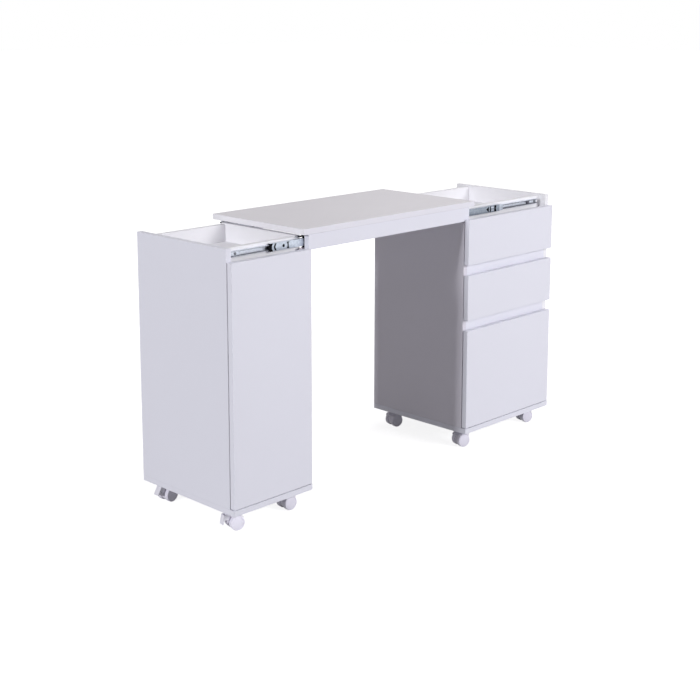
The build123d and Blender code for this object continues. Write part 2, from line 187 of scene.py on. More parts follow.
def make_rolled_steel():
    """Fine draw lines along a direction, with zinc spangle and a little handling grime."""
    group, given, result = node_group(
        "rolled_steel",
        [("Colour", "Color", None), ("Shade", "Color", None), ("Along X", "Float", 1.0)],
        [("Colour", "Color"), ("Height", "Float"), ("Roughness", "Float")])
    place = object_place(group)
    along_x = noise(group, stretched(group, place, (6.0, 900.0, 900.0)), 1.0, 4.0)
    along_y = noise(group, stretched(group, place, (900.0, 6.0, 900.0)), 1.0, 4.0)
    pick = group.nodes.new("ShaderNodeMix")
    pick.data_type = "FLOAT"
    feed(group, given.outputs["Along X"], pick.inputs[0])
    feed(group, along_y, pick.inputs[2])
    feed(group, along_x, pick.inputs[3])
    lines = pick.outputs[0]
    spangle = group.nodes.new("ShaderNodeTexVoronoi")
    feed(group, place, spangle.inputs["Vector"])
    spangle.inputs["Scale"].default_value = 160.0
    grime = noise(group, place, 30.0, 5.0, 0.7)
    tone = math_node(group, "ADD", math_node(group, "MULTIPLY", lines, 0.55),
                     math_node(group, "MULTIPLY", spangle.outputs["Distance"], 0.45))
    base = mix_colour(group, map_range(group, tone, 0.2, 0.75), given.outputs["Shade"], given.outputs["Colour"])
    dirty = math_node(group, "MULTIPLY", map_range(group, grime, 0.55, 0.8), 0.35)
    feed(group, mix_colour(group, dirty, base, given.outputs["Shade"]), result.inputs["Colour"])
    feed(group, lines, result.inputs["Height"])
    feed(group, math_node(group, "ADD", 0.26, math_node(group, "MULTIPLY", grime, 0.22)),
         result.inputs["Roughness"])
    return group


def make_moulding():
    """Moulded plastic: a spark-eroded grain and slow flow marks."""
    group, given, result = node_group(
        "moulded_grain",
        [("Colour", "Color", None), ("Grain Size", "Float", 1400.0), ("Flow", "Float", 0.05)],
        [("Colour", "Color"), ("Height", "Float"), ("Roughness", "Float")])
    place = object_place(group)
    grain = noise(group, place, given.outputs["Grain Size"], 2.0)
    flow = noise(group, stretched(group, place, (40.0, 40.0, 120.0)), 1.0, 3.0)
    gain = math_node(group, "ADD", 1.0, math_node(group, "MULTIPLY", math_node(group, "SUBTRACT", flow, 0.5),
                                                  given.outputs["Flow"]))
    tone = group.nodes.new("ShaderNodeCombineXYZ")
    for axis in range(3):
        feed(group, gain, tone.inputs[axis])
    feed(group, mix_colour(group, 1.0, given.outputs["Colour"], tone.outputs[0], "MULTIPLY"),
         result.inputs["Colour"])
    feed(group, grain, result.inputs["Height"])
    feed(group, math_node(group, "ADD", 0.34, math_node(group, "MULTIPLY", flow, 0.16)),
         result.inputs["Roughness"])
    return group


mottle_group = make_mottle()
edge_group = make_edge_mask()
pore_group = make_laminate_pore()
steel_group = make_rolled_steel()
moulding_group = make_moulding()


# ------------------------------------------------------------------ materials

def new_material(name):
    material = bpy.data.materials.new(name)
    material.use_nodes = True
    tree = material.node_tree
    return material, tree, tree.nodes["Principled BSDF"]


def placed(tree, group, **values):
    """A group placed in a material; words in value names are joined as the socket names are."""
    node = tree.nodes.new("ShaderNodeGroup")
    node.node_tree = group
    for label, value in values.items():
        feed(tree, value, node.inputs[label.replace("_", " ")])
    return node


def bump(tree, height, strength, distance, shader):
    node = tree.nodes.new("ShaderNodeBump")
    node.inputs["Strength"].default_value = strength
    node.inputs["Distance"].default_value = distance
    feed(tree, height, node.inputs["Height"])
    feed(tree, node.outputs["Normal"], shader.inputs["Normal"])


def laminate(name, face, edge, joint, roughness, coat=0.0, stroke=0.35, dimple=0.00002, upper=None, ends=None):
    """Board faced with melamine: pearl grain, banded edges with a hairline joint, faint wear at corners.

    The upper face can be darkened as painted shade, with a warmer tint of its own, and the two ends along X
    lightened as painted light, both chosen by the face's normal.
    """
    material, tree, shader = new_material(name)
    # painted light and shade by the face's normal: the upper face takes painted shade, the two ends along X
    # painted light, in the colours given
    if upper:
        split = tree.nodes.new("ShaderNodeSeparateXYZ")
        feed(tree, tree.nodes.new("ShaderNodeNewGeometry").outputs["Normal"], split.inputs[0])
        turned = math_node(tree, "ABSOLUTE", split.outputs["X"])
        face = mix_colour(tree, map_range(tree, turned, 0.6, 0.95), face, ends)
        face = mix_colour(tree, map_range(tree, split.outputs["Z"], 0.6, 0.95), face, upper)
    mottle = placed(tree, mottle_group, Colour=face, Amount=0.035, Patch_Size=3.0)
    edges = placed(tree, edge_group, Reach=0.0011, Break_Up=0.5)
    banded = mix_colour(tree, edges.outputs["Edge"], mottle.outputs["Colour"], edge)
    lined = mix_colour(tree, math_node(tree, "MULTIPLY", edges.outputs["Joint Line"], 0.35), banded, joint)
    feed(tree, lined, shader.inputs["Base Color"])
    pore = placed(tree, pore_group, Dimple_Size=900.0, Stroke=stroke)
    change = math_node(tree, "MULTIPLY", math_node(tree, "SUBTRACT", pore.outputs["Gloss Change"], 0.5), 0.14)
    feed(tree, math_node(tree, "ADD", roughness, change, clamp=True), shader.inputs["Roughness"])
    shader.inputs["Specular IOR Level"].default_value = 0.42
    shader.inputs["Coat Weight"].default_value = coat
    shader.inputs["Coat Roughness"].default_value = 0.3
    bump(tree, pore.outputs["Height"], 0.35, dimple, shader)
    return material


def steel(name, colour, shade, along_x, edge=(0.80, 0.83, 0.86, 1.0)):
    """Zinc-plated rolled steel with draw lines and brighter rubbed edges."""
    material, tree, shader = new_material(name)
    rolled = placed(tree, steel_group, Colour=colour, Shade=shade, Along_X=along_x)
    edges = placed(tree, edge_group, Reach=0.0006, Break_Up=0.8)
    rubbed = math_node(tree, "MULTIPLY", edges.outputs["Edge"], 0.6)
    feed(tree, mix_colour(tree, rubbed, rolled.outputs["Colour"], edge), shader.inputs["Base Color"])
    shader.inputs["Metallic"].default_value = 0.85
    feed(tree, rolled.outputs["Roughness"], shader.inputs["Roughness"])
    bump(tree, rolled.outputs["Height"], 0.25, 0.00001, shader)
    return material


def moulded(name, colour, roughness_shift=0.0, specular=0.5, grain=1400.0, edge_tint=(0.95, 0.95, 0.97, 1.0)):
    """Injection-moulded plastic with a fine grain and slightly polished corners."""
    material, tree, shader = new_material(name)
    cast = placed(tree, moulding_group, Colour=colour, Grain_Size=grain, Flow=0.06)
    edges = placed(tree, edge_group, Reach=0.0008, Break_Up=0.6)
    worn = math_node(tree, "MULTIPLY", edges.outputs["Edge"], 0.25)
    feed(tree, mix_colour(tree, worn, cast.outputs["Colour"], edge_tint), shader.inputs["Base Color"])
    feed(tree, math_node(tree, "ADD", cast.outputs["Roughness"], roughness_shift), shader.inputs["Roughness"])
    shader.inputs["Specular IOR Level"].default_value = specular
    bump(tree, cast.outputs["Height"], 0.2, 0.000015, shader)
    return material


white_board = laminate("white_melamine", (0.77, 0.77, 0.85, 1), (0.80, 0.80, 0.87, 1), (0.50, 0.50, 0.58, 1), 0.42)
# top board: upper face darkened as painted shade with a warmer tint, ends along X lightened as painted light
top_laminate = laminate("top_melamine", (0.77, 0.76, 0.83, 1), (0.79, 0.78, 0.85, 1), (0.62, 0.61, 0.66, 1), 0.38,
                        coat=0.15, stroke=0.2, upper=(0.715, 0.685, 0.73, 1), ends=(0.88, 0.87, 0.91, 1))
# lighter copy of the white melamine for the tray walls, backs, floors and front rails: painted bounce light
painted_bounce_board = laminate("painted_bounce_melamine", (0.86, 0.855, 0.885, 1), (0.86, 0.86, 0.89, 1),
                      (0.66, 0.66, 0.70, 1), 0.42)
# darker copy of the white melamine for the right pedestal's inner side under the top: painted shade
painted_shade_knee_board = laminate("painted_shade_knee_melamine", (0.70, 0.675, 0.745, 1), (0.72, 0.70, 0.76, 1),
                      (0.50, 0.49, 0.55, 1), 0.42)
drawer_board = laminate("drawer_foil", (0.80, 0.80, 0.84, 1), (0.78, 0.77, 0.78, 1), (0.55, 0.54, 0.56, 1), 0.5)
drawer_sheet = laminate("lacquered_hardboard", (0.82, 0.82, 0.84, 1), (0.66, 0.60, 0.52, 1),
                        (0.5, 0.46, 0.40, 1), 0.33, coat=0.2, stroke=0.1)
slide_steel = steel("zinc_slide_steel", (0.63, 0.665, 0.735, 1), (0.47, 0.50, 0.57, 1), 1.0)
cage_steel = steel("zinc_cage_steel", (0.50, 0.545, 0.615, 1), (0.37, 0.41, 0.475, 1), 1.0)
# darker copy of the slide steel for the right middle members: painted shade
carriage_painted_shade_steel = steel("painted_shade_slide_carriage", (0.29, 0.33, 0.385, 1), (0.21, 0.24, 0.29, 1), 1.0)
runner_steel = steel("zinc_runner_steel", (0.60, 0.65, 0.71, 1), (0.38, 0.42, 0.48, 1), 0.0)
hinge_steel = steel("nickel_hinge_steel", (0.68, 0.69, 0.70, 1), (0.48, 0.49, 0.51, 1), 0.0)
pin_steel = steel("turned_pin_steel", (0.70, 0.71, 0.72, 1), (0.52, 0.53, 0.55, 1), 1.0)
castor_nylon = moulded("castor_body_nylon", (0.78, 0.76, 0.84, 1))
wheel_nylon = moulded("castor_wheel_nylon", (0.82, 0.80, 0.90, 1), 0.06, grain=1000.0)
lever_nylon = moulded("brake_lever_nylon", (0.80, 0.79, 0.86, 1), 0.05)
# black plastic of the slide stops, latches, ball holders and left holder noses; the same black also paints the
# shade at the outer members' ends, above them, in the notches, in a lanced slot and in the access holes
black_and_shade_plastic = moulded("black_retainer_and_painted_shade", (0.004, 0.004, 0.006, 1), 0.15, specular=0.04,
                        edge_tint=(0.012, 0.012, 0.015, 1))
# pale foil that paints light into the gap between the door and the left outer side
gap_light_foil = moulded("painted_gap_light", (0.74, 0.74, 0.80, 1), 0.1)
# near-black plastic: paints the shade along the races of the inner members, and is the colour of the right slides'
# rests
shade_and_rest_plastic = moulded("race_shade_and_rest_black", (0.11, 0.11, 0.14, 1), 0.2, edge_tint=(0.16, 0.16, 0.19, 1))
# dim grey that paints the shade seen through the inner side panels' notches below the slides, on the notch blocks
# and the lower cap lugs
grey_shade_filler = moulded("painted_shade_grey", (0.46, 0.41, 0.46, 1), 0.3, edge_tint=(0.5, 0.46, 0.5, 1))
# screw heads darkened to paint the shade of their recesses
shade_darkened_screws = steel("dark_screw_painted_recess_shade", (0.20, 0.21, 0.23, 1), (0.10, 0.11, 0.13, 1), 0.0,
                    edge=(0.35, 0.36, 0.38, 1))

slot_materials = {
    "white_board": white_board,
    "top_laminate": top_laminate,
    "drawer_board": drawer_board,
    "drawer_sheet": drawer_sheet,
    "slide_steel": slide_steel,
    "hinge_steel": hinge_steel,
    "pin_steel": pin_steel,
    "castor_body": castor_nylon,
    "castor_wheel": wheel_nylon,
    "brake_lever": lever_nylon,
}


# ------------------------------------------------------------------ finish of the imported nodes

def ease_edges(node, width, angle=35.0, segments=2):
    """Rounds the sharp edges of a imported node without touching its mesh."""
    weld = node.modifiers.new("weld", "WELD")
    weld.merge_threshold = 0.000001
    bevel = node.modifiers.new("eased_edges", "BEVEL")
    bevel.width = width
    bevel.segments = segments
    bevel.profile = 0.5
    bevel.limit_method = "ANGLE"
    bevel.angle_limit = math.radians(angle)
    bevel.harden_normals = False


edge_round = {
    "white_board": 0.7 * MM,
    "top_laminate": 0.9 * MM,
    "drawer_board": 0.5 * MM,
    "drawer_sheet": 0.2 * MM,
    "slide_steel": 0.3 * MM,
    "hinge_steel": 0.25 * MM,
    "pin_steel": 0.2 * MM,
    "castor_body": 0.5 * MM,
    "castor_wheel": 0.3 * MM,
    "brake_lever": 0.6 * MM,
}
# finishes per node: a darker steel for the left middles, painted shade on the right middles and the right inner
# side, painted bounce light on the tray sides, backs, rails and floors
finishes_and_painted_light = {
    "left_slide_middles": cage_steel,
    "right_slide_middles": carriage_painted_shade_steel,
    "right_inner_side": painted_shade_knee_board,
    "left_inner_side": painted_bounce_board,
    "right_outer_side": painted_bounce_board,
    "left_back": painted_bounce_board,
    "right_back": painted_bounce_board,
    "left_front_rail": painted_bounce_board,
    "right_front_rail": painted_bounce_board,
    "left_tray_floor": painted_bounce_board,
    "right_tray_floor": painted_bounce_board,
}
for entry in frame["record"]["subparts"]:
    node, slot_name = nodes[entry["node"]], entry["material_slot"]
    finish = slot_materials[slot_name]
    if "runners" in entry["node"] or "guides" in entry["node"]:
        finish = runner_steel
    finish = finishes_and_painted_light.get(entry["node"], finish)
    node.data.materials.clear()
    node.data.materials.append(finish)
    ease_edges(node, edge_round[slot_name])


# ------------------------------------------------------------------ building of new pieces

def reach(node):
    """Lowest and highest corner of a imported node, in millimetres."""
    low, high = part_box(node)
    return low / MM, high / MM


def prism(outline, low, high, axis="Y"):
    """Solid between two planes; the outline's two numbers are the other axes in order, in millimetres."""
    def at(first, second, along):
        corner = {"X": (along, first, second), "Y": (first, along, second), "Z": (first, second, along)}
        return Vector(corner[axis]) * MM

    part = bmesh.new()
    base = part.faces.new([part.verts.new(at(first, second, low)) for first, second in outline])
    grown = bmesh.ops.extrude_face_region(part, geom=[base])["geom"]
    corners = [piece for piece in grown if isinstance(piece, bmesh.types.BMVert)]
    bmesh.ops.translate(part, verts=corners, vec=at(0, 0, high - low))
    return part


def block(x0, x1, y0, y1, z0, z1):
    return prism([(x0, z0), (x1, z0), (x1, z1), (x0, z1)], y0, y1)


def lathe(profile, steps=24):
    """Solid turned about Z from a profile of (radius, height) that starts and ends on the axis."""
    part = bmesh.new()
    points = [part.verts.new((radius * MM, 0, height * MM)) for radius, height in profile]
    rims = [part.edges.new(pair) for pair in zip(points, points[1:])]
    bmesh.ops.spin(part, geom=points + rims, cent=(0, 0, 0), axis=(0, 0, 1),
                   angle=2 * math.pi, steps=steps, use_merge=True)
    bmesh.ops.remove_doubles(part, verts=part.verts, dist=0.0000001)
    return part


def ring(part, radius, height, steps):
    turns = [2 * math.pi * step / steps for step in range(steps)]
    points = [part.verts.new((radius * math.cos(turn) * MM, radius * math.sin(turn) * MM, height * MM))
              for turn in turns]
    return points


def wall(part, lower, upper):
    """Faces between two rings of as many points."""
    for index in range(len(lower)):
        following = (index + 1) % len(lower)
        part.faces.new((lower[index], lower[following], upper[following], upper[index]))


def screw_head(radius, rise, steps=24):
    """Rounded head with a cross recess, seated at height 0."""
    part = bmesh.new()
    arm, half, depth = 0.5 * radius, 0.13 * radius, 0.6 * rise
    corner = [(arm, half), (half, half), (half, arm)]
    cross = []
    for quarter in range(4):
        turn = Matrix.Rotation(quarter * math.pi / 2, 3, "Z")
        cross += [turn @ Vector((x, y, 0)) for x, y in corner]
    mouth = [part.verts.new(Vector((point.x, point.y, rise)) * MM) for point in cross]
    pit = [part.verts.new(Vector((point.x * 0.6, point.y * 0.6, rise - depth)) * MM) for point in cross]
    wall(part, pit, mouth)
    part.faces.new(pit)
    rings = [ring(part, radius * across, rise * up, steps)
             for across, up in ((1.0, 0.0), (1.0, 0.35), (0.9, 0.75), (0.66, 1.0))]
    for lower, upper in zip(rings, rings[1:]):
        wall(part, lower, upper)
    part.faces.new(rings[0])
    edges = closed_loop(part, rings[-1]) + closed_loop(part, mouth)
    bmesh.ops.triangle_fill(part, edges=edges, use_beauty=True)
    return part


def closed_loop(part, points):
    """The edges that already join a ring of points."""
    return [part.edges.get(pair) for pair in zip(points, points[1:] + points[:1])]


def ball(radius, place):
    part = bmesh.new()
    bmesh.ops.create_uvsphere(part, u_segments=12, v_segments=8, radius=radius * MM,
                              matrix=Matrix.Translation(Vector(place) * MM))
    return part


def stood(part, place, axis):
    """A part made about the origin, moved to a place with its height along an axis."""
    turn = Vector(axis).to_track_quat("Z", "Y").to_matrix().to_4x4()
    part.transform(Matrix.Translation(Vector(place) * MM) @ turn)
    return part


def new_piece(name, parts, material, body, ease=0.0):
    """One object from several closed parts, riding on a body."""
    mesh = bpy.data.meshes.new(name)
    joined = bmesh.new()
    for part in parts:
        bmesh.ops.recalc_face_normals(part, faces=part.faces)
        part.to_mesh(mesh)
        part.free()
        joined.from_mesh(mesh)
    for face in joined.faces:
        face.smooth = True
    for edge in joined.edges:
        edge.smooth = edge.calc_face_angle(0.0) < math.radians(32)
    joined.to_mesh(mesh)
    joined.free()
    mesh.materials.append(material)
    piece = bpy.data.objects.new(name, mesh)
    bpy.context.scene.collection.objects.link(piece)
    if ease:
        ease_edges(piece, ease)
    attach(piece, body)
    return piece


# ------------------------------------------------------------------ hardware of the ball slides

apron_faces = {"front": (reach("front_apron")[1].y, 1.0), "rear": (reach("rear_apron")[0].y, -1.0)}
channel_floor = 10.75     # depth of the inner member's channel floor from the apron's face
web_seat = 8.2            # depth of what lies on a plate in that channel
near_band = (0.5, 5.6)    # depths of the blocks that ride with the inner side panel
far_band = (6.6, 11.7)    # depths of the lugs that pass beside them
cap_half = 13.9           # half height of the outer members' caps
cap_mouth = 10.6          # half height of their opening
cap_wall = 1.25
cap_depth = 8.9
slide_z = (reach("left_slide_inners")[0].z + reach("left_slide_inners")[1].z) / 2
notch_floor = reach("front_apron")[0].z - 3.0
top_underside = reach("front_apron")[1].z
lower_lug = (notch_floor + 0.6, slide_z - cap_half + 0.1)
upper_lug = (slide_z + cap_half - 0.1, top_underside - 0.1)


def depths(end, near, far):
    """Y of two depths between an apron's face and the rail."""
    face, way = apron_faces[end]
    return sorted((face + way * near, face + way * far))


def from_end(side, t):
    """X at a distance inwards from the outer end of a side's middle members."""
    low, high = reach(side + "_slide_middles")
    return low.x + t if side == "left" else high.x - t


def face_plate(side, end, outline, near=1.3, far=2.05):
    """Flat plate on the middle member's face, its outline given as (distance from the end, height)."""
    return prism([(from_end(side, t), slide_z + z) for t, z in outline], *depths(end, near, far))


def mouth_sleeve(side, end, t0, t1, near, far, half_out, half_in, web=0.9):
    """C-shaped sleeve round a member's end, open towards the rail."""
    face, way = apron_faces[end]
    outline = [(near, -half_out), (far, -half_out), (far, -half_in), (near + web, -half_in),
               (near + web, half_in), (far, half_in), (far, half_out), (near, half_out)]
    x0, x1 = sorted((from_end(side, t0), from_end(side, t1)))
    return prism([(face + way * depth, slide_z + z) for depth, z in outline], x0, x1, "X")


left_stop = [(-7.5, 3.6), (-2.5, 10.3), (8.5, 10.3), (4.5, 4.0), (4.5, -4.0), (8.5, -10.3), (-2.5, -10.3),
             (-7.5, -3.6)]
left_clip = [(20.5, 9.5), (15.5, 9.5), (10.5, 0.5), (15.5, -9.0), (20.5, -9.0), (16.2, 0.5)]
# black bracket that paints the shade of a lanced slot in the middle member's web
left_slot_shade = [(57.0, 8.5), (65.5, 8.5), (65.5, 6.2), (63.0, 6.2), (63.0, -6.2), (65.5, -6.2), (65.5, -8.5),
            (57.0, -8.5), (57.0, -6.2), (59.0, -6.2), (59.0, 6.2), (57.0, 6.2)]
right_stop = [(15.0, 9.6), (24.5, 9.6), (26.0, 0.0), (24.5, -9.6), (15.0, -9.6), (18.0, 0.0)]
right_clip = [(41.5, 8.8), (44.5, 8.8), (47.0, -8.8), (43.0, -8.8)]
right_arrow = [(52.5, 7.5), (52.5, -8.0), (65.5, 0.5)]
right_spring = [(28.5, 5.5), (39.5, 5.5), (39.5, -5.5), (28.5, -5.5)]

for end in ("front", "rear"):
    cage = "left_slide_carriages"
    new_piece("left_" + end + "_slide_stop",
              [face_plate("left", end, left_stop),
               mouth_sleeve("left", end, -2.0, 0.2, near=2.4, far=10.0, half_out=10.2, half_in=8.0)],
              black_and_shade_plastic, cage, 0.2 * MM)
    new_piece("left_" + end + "_slide_latch",
              [face_plate("left", end, left_clip), face_plate("left", end, left_slot_shade)],
              black_and_shade_plastic, cage, 0.15 * MM)
    cage = "right_slide_carriages"
    new_piece("right_" + end + "_slide_stop", [face_plate("right", end, right_stop)],
              black_and_shade_plastic, cage, 0.2 * MM)
    new_piece("right_" + end + "_slide_latch",
              [face_plate("right", end, right_clip), face_plate("right", end, right_arrow)],
              black_and_shade_plastic, cage, 0.15 * MM)
    new_piece("right_" + end + "_latch_spring", [face_plate("right", end, right_spring, near=1.55)],
              slide_steel, cage, 0.15 * MM)

holder_reach = {"left": 11.0, "right": 17.0}    # ball holder past the middle member's outer end
access_hole = 45.0        # access hole from the middle member's outer end
pedestals = {"left": "left_pedestal", "right": "right_pedestal"}
carriages = {"left": "left_slide_carriages", "right": "right_slide_carriages"}


def ball_holder(side, end):
    """Strips that keep the balls between middle and inner member."""
    length = reach(side + "_slide_middles")[1].x - reach(side + "_slide_middles")[0].x
    x0, x1 = sorted((from_end(side, 0.4), from_end(side, length - 1.0)))
    y0, y1 = depths(end, 4.4, 9.6)
    return [block(x0, x1, y0, y1, slide_z + low, slide_z + low + 0.9) for low in (-8.6, 7.7)]


def holder_nose(side, end):
    """Tip of the ball holder past the middle member's outer end."""
    tip = holder_reach[side]
    if side == "left":
        arrow = [(-tip, 0.6), (-7.0, 1.5), (0.3, 1.5), (0.3, -1.5), (-7.0, -1.5), (-tip, -0.6)]
        return [face_plate(side, end, arrow, near=2.3, far=3.2)]
    return [mouth_sleeve(side, end, -tip, 0.3, near=2.3, far=9.6, half_out=8.9, half_in=7.8)]


def holder_balls(side, end):
    """Balls that show in the holder's tip."""
    face, way = apron_faces[end]
    return [ball(1.6, (from_end(side, t), face + way * 3.0, slide_z + 0.5)) for t in (-4.5, -12.0)]


def race_shade_strips(side, end):
    """Dark strips that paint the shade along the upper and lower race of an inner member."""
    low, high = reach(side + "_slide_inners")
    y0, y1 = depths(end, 3.9, channel_floor)
    half, thick = 6.25, 0.7 if side == "left" else 1.7
    return [block(low.x + 1.0, high.x - 1.0, y0, y1, slide_z + z0, slide_z + z0 + thick)
            for z0 in (-half, half - thick)]


def access_hole_shade(side, end):
    """Round black plug in the access hole, with a thin rim on the face; it paints the shade inside the hole."""
    turns = [2 * math.pi * step / 24 for step in range(24)]
    parts = []
    for radius, near, far in ((4.2, 1.32, 1.48), (3.1, 1.4, 3.3)):
        outline = [(access_hole + radius * math.cos(turn), radius * math.sin(turn)) for turn in turns]
        parts.append(face_plate(side, end, outline, near, far))
    return parts


def member_screws(side, member, inset, seat, radius, rise, outwards):
    """Cross-recessed screws at both ends and the middle of a slide member, front and rear."""
    low, high = reach(side + "_slide_" + member)
    screws = []
    for face, way in apron_faces.values():
        for x in (low.x + inset, (low.x + high.x) / 2, high.x - inset):
            screws.append(stood(screw_head(radius, rise), (x, face + way * seat, slide_z), (0, way * outwards, 0)))
    return screws


def end_plates(side, near, far, seat, half):
    """Plates laid in the inner members' channels, placed from their outer ends, front and rear."""
    low, high = reach(side + "_slide_inners")
    x0, x1 = (low.x + near, low.x + far) if side == "left" else (high.x - far, high.x - near)
    plates = []
    for end in apron_faces:
        y0, y1 = depths(end, seat, channel_floor)
        plates.append(block(x0, x1, y0, y1, slide_z - half, slide_z + half))
    return plates


def end_screws(side):
    """Screw through each end plate, front and rear."""
    low, high = reach(side + "_slide_inners")
    x = low.x + 26.0 if side == "left" else high.x - 12.0
    return [stood(screw_head(radius=3.8, rise=2.2), (x, face + way * web_seat, slide_z), (0, -way, 0))
            for face, way in apron_faces.values()]


def cap_spans(side):
    """X ranges of the caps at both ends of the outer members."""
    low, high = reach(side + "_slide_outers")
    return (low.x - 7.2, low.x - 0.1), (high.x + 0.1, high.x + 6.8)


def outer_shade_caps(side):
    """C-shaped black caps over both ends of the outer members; they paint the shade beside the aprons' ends."""
    outline = [(0.05, -cap_half), (cap_depth, -cap_half), (cap_depth, -cap_mouth), (cap_wall, -cap_mouth),
               (cap_wall, cap_mouth), (cap_depth, cap_mouth), (cap_depth, cap_half), (0.05, cap_half)]
    caps = []
    for face, way in apron_faces.values():
        for x0, x1 in cap_spans(side):
            caps.append(prism([(face + way * depth, slide_z + z) for depth, z in outline], x0, x1, "X"))
    return caps


def cap_lugs(side, z0, z1):
    """Lug on each cap of the outer members, passing beside the blocks in the notches; the lugs paint the shade
    there, grey below the slide and black above it.
    """
    lugs = []
    for end in apron_faces:
        y0, y1 = depths(end, *far_band)
        for x0, x1 in cap_spans(side):
            lugs.append(block(x0, x1, y0, y1, z0, z1))
    return lugs


def notch_blocks(side, z0, z1):
    """Blocks in the inner side panel's notches, front and rear, that paint the shade in the notches."""
    low, high = reach(side + "_inner_side")
    return [block(low.x + 4.0, high.x - 0.2, *depths(end, *near_band), z0, z1) for end in apron_faces]


for side, pedestal in pedestals.items():
    for end in apron_faces:
        new_piece(side + "_" + end + "_ball_holder", ball_holder(side, end), black_and_shade_plastic, carriages[side])
        nose_finish = black_and_shade_plastic if side == "left" else cage_steel
        new_piece(side + "_" + end + "_holder_nose", holder_nose(side, end), nose_finish, carriages[side])
        if side == "left":
            # black plug that paints the shade in the access hole
            new_piece("left_" + end + "_access_hole_shade", access_hole_shade(side, end), black_and_shade_plastic, carriages[side])
        else:
            new_piece("right_" + end + "_balls", holder_balls(side, end), pin_steel, carriages[side])
        # dark strips that paint the shade along the races
        new_piece(side + "_" + end + "_race_shade_strips", race_shade_strips(side, end), shade_and_rest_plastic, pedestal)
    new_piece(side + "_inner_member_screws", member_screws(side, "inners", inset=16.0, seat=10.7, radius=3.6,
                                                             rise=2.2, outwards=-1.0),
              slide_steel, pedestal)
    new_piece(side + "_slide_end_screws", end_screws(side), shade_darkened_screws, pedestal)
    new_piece(side + "_outer_member_screws", member_screws(side, "outers", inset=30.0, seat=0.1, radius=2.35,
                                                             rise=1.0, outwards=1.0),
              shade_darkened_screws, "sliding_top")
    plate_half = 4.4 if side == "right" else 5.4
    new_piece(side + "_slide_end_plates", end_plates(side, 2.0, 37.0, web_seat, plate_half), slide_steel,
              pedestal, 0.2 * MM)
    if side == "right":
        new_piece("right_slide_rests", end_plates(side, 38.5, 49.5, 6.5, plate_half), shade_and_rest_plastic, pedestal,
                  0.3 * MM)
    # the caps, spacers, lugs, notch blocks and notch guides below paint the shade round the slides' ends and
    # notches: black caps, spacers and guides, dim grey lugs and blocks
    new_piece(side + "_outer_member_shade_caps", outer_shade_caps(side), black_and_shade_plastic, "sliding_top",
              0.2 * MM)
    new_piece(side + "_cap_grey_shade_lugs", cap_lugs(side, *lower_lug), grey_shade_filler, "sliding_top",
              0.3 * MM)
    new_piece(side + "_cap_shade_spacers", cap_lugs(side, *upper_lug), black_and_shade_plastic, "sliding_top",
              0.3 * MM)
    new_piece(side + "_notch_grey_shade", notch_blocks(side, notch_floor, notch_floor + 7.8), grey_shade_filler, pedestal,
              0.5 * MM)
    new_piece(side + "_notch_shade_guides", notch_blocks(side, slide_z + 14.7, slide_z + 18.2), black_and_shade_plastic,
              pedestal, 0.4 * MM)


# ------------------------------------------------------------------ screws of hinges, runners and bases

arm_low, arm_high = reach("left_hinge_arms")
cup_inset = 22.5          # cup centre from the door's hinged edge
arm_half = 24.0           # half height of an arm's foot
hinge_x = reach("door_panel")[0].x + cup_inset
hinge_heights = (arm_low.z + arm_half, arm_high.z - arm_half)
ear_face = reach("door_panel")[1].y + 1.2
foot_face = arm_low.x + 3.5
arm_face = arm_low.x + 5.0


def heads(places, axis, radius, rise):
    """Cross-recessed screw heads seated at places, all facing one way."""
    return [stood(screw_head(radius, rise), place, axis) for place in places]


new_piece("door_hinge_screws",
          heads([(hinge_x, ear_face, z + rise) for z in hinge_heights for rise in (-25.0, 25.0)],
                (0, 1, 0), radius=3.6, rise=1.8), shade_darkened_screws, "door")
new_piece("hinge_foot_screws",
          heads([(foot_face, arm_high.y - 15.0 - 0.6, z + rise) for z in hinge_heights for rise in (-17.0, 17.0)],
                (1, 0, 0), radius=3.6, rise=1.8), shade_darkened_screws, "left_pedestal")
new_piece("hinge_arm_screws",
          heads([(arm_face, arm_high.y - back, z) for z in hinge_heights for back in (10.0, 28.0)],
                (1, 0, 0), radius=3.0, rise=2.4), shade_darkened_screws, "left_pedestal")

runner_heights = {name: (reach(name + "_runners")[0].z + reach(name + "_runners")[1].z) / 2
                  for name in ("top_drawer", "middle_drawer", "bottom_drawer")}
guide_low, guide_high = reach("right_drawer_guides")
runner_screw = (3.2, 1.4)     # radius and rise of the heads
cabinet_screws = []
for name, z in runner_heights.items():
    low, high = reach(name + "_runners")
    screws = []
    for y in (low.y + 18.0, (low.y + high.y) / 2, high.y - 18.0):
        screws += heads([(low.x + 7.8, y, z)], (-1, 0, 0), *runner_screw)
        screws += heads([(high.x - 7.8, y, z)], (1, 0, 0), *runner_screw)
        cabinet_screws += heads([(guide_low.x + 1.2, y, z)], (1, 0, 0), *runner_screw)
        cabinet_screws += heads([(guide_high.x - 1.2, y, z)], (-1, 0, 0), *runner_screw)
    new_piece(name + "_runner_screws", screws, shade_darkened_screws, name)
new_piece("cabinet_runner_screws", cabinet_screws, shade_darkened_screws, "right_pedestal")

for side, pedestal in pedestals.items():
    low, high = reach(side + "_base")
    places = [(x, y, low.z) for x in (low.x + 8.0, high.x - 8.0) for y in (low.y + 60.0, 0.0, high.y - 60.0)]
    new_piece(side + "_base_screws", heads(places, (0, 0, -1), radius=4.0, rise=1.2), shade_darkened_screws, pedestal)

side_low, side_high = reach("left_outer_side")
door_low, door_high = reach("door_panel")
# pale strip in front of the side panel's edge: painted light in the door gap
new_piece("door_gap_light_strip",
          [block(side_low.x + 0.3, side_high.x - 0.3, side_low.y - 1.05, side_low.y, door_low.z + 2.0,
                 door_high.z - 2.0)], gap_light_foil, "left_pedestal", 0.2 * MM)


# ------------------------------------------------------------------ covers of the castor wheels

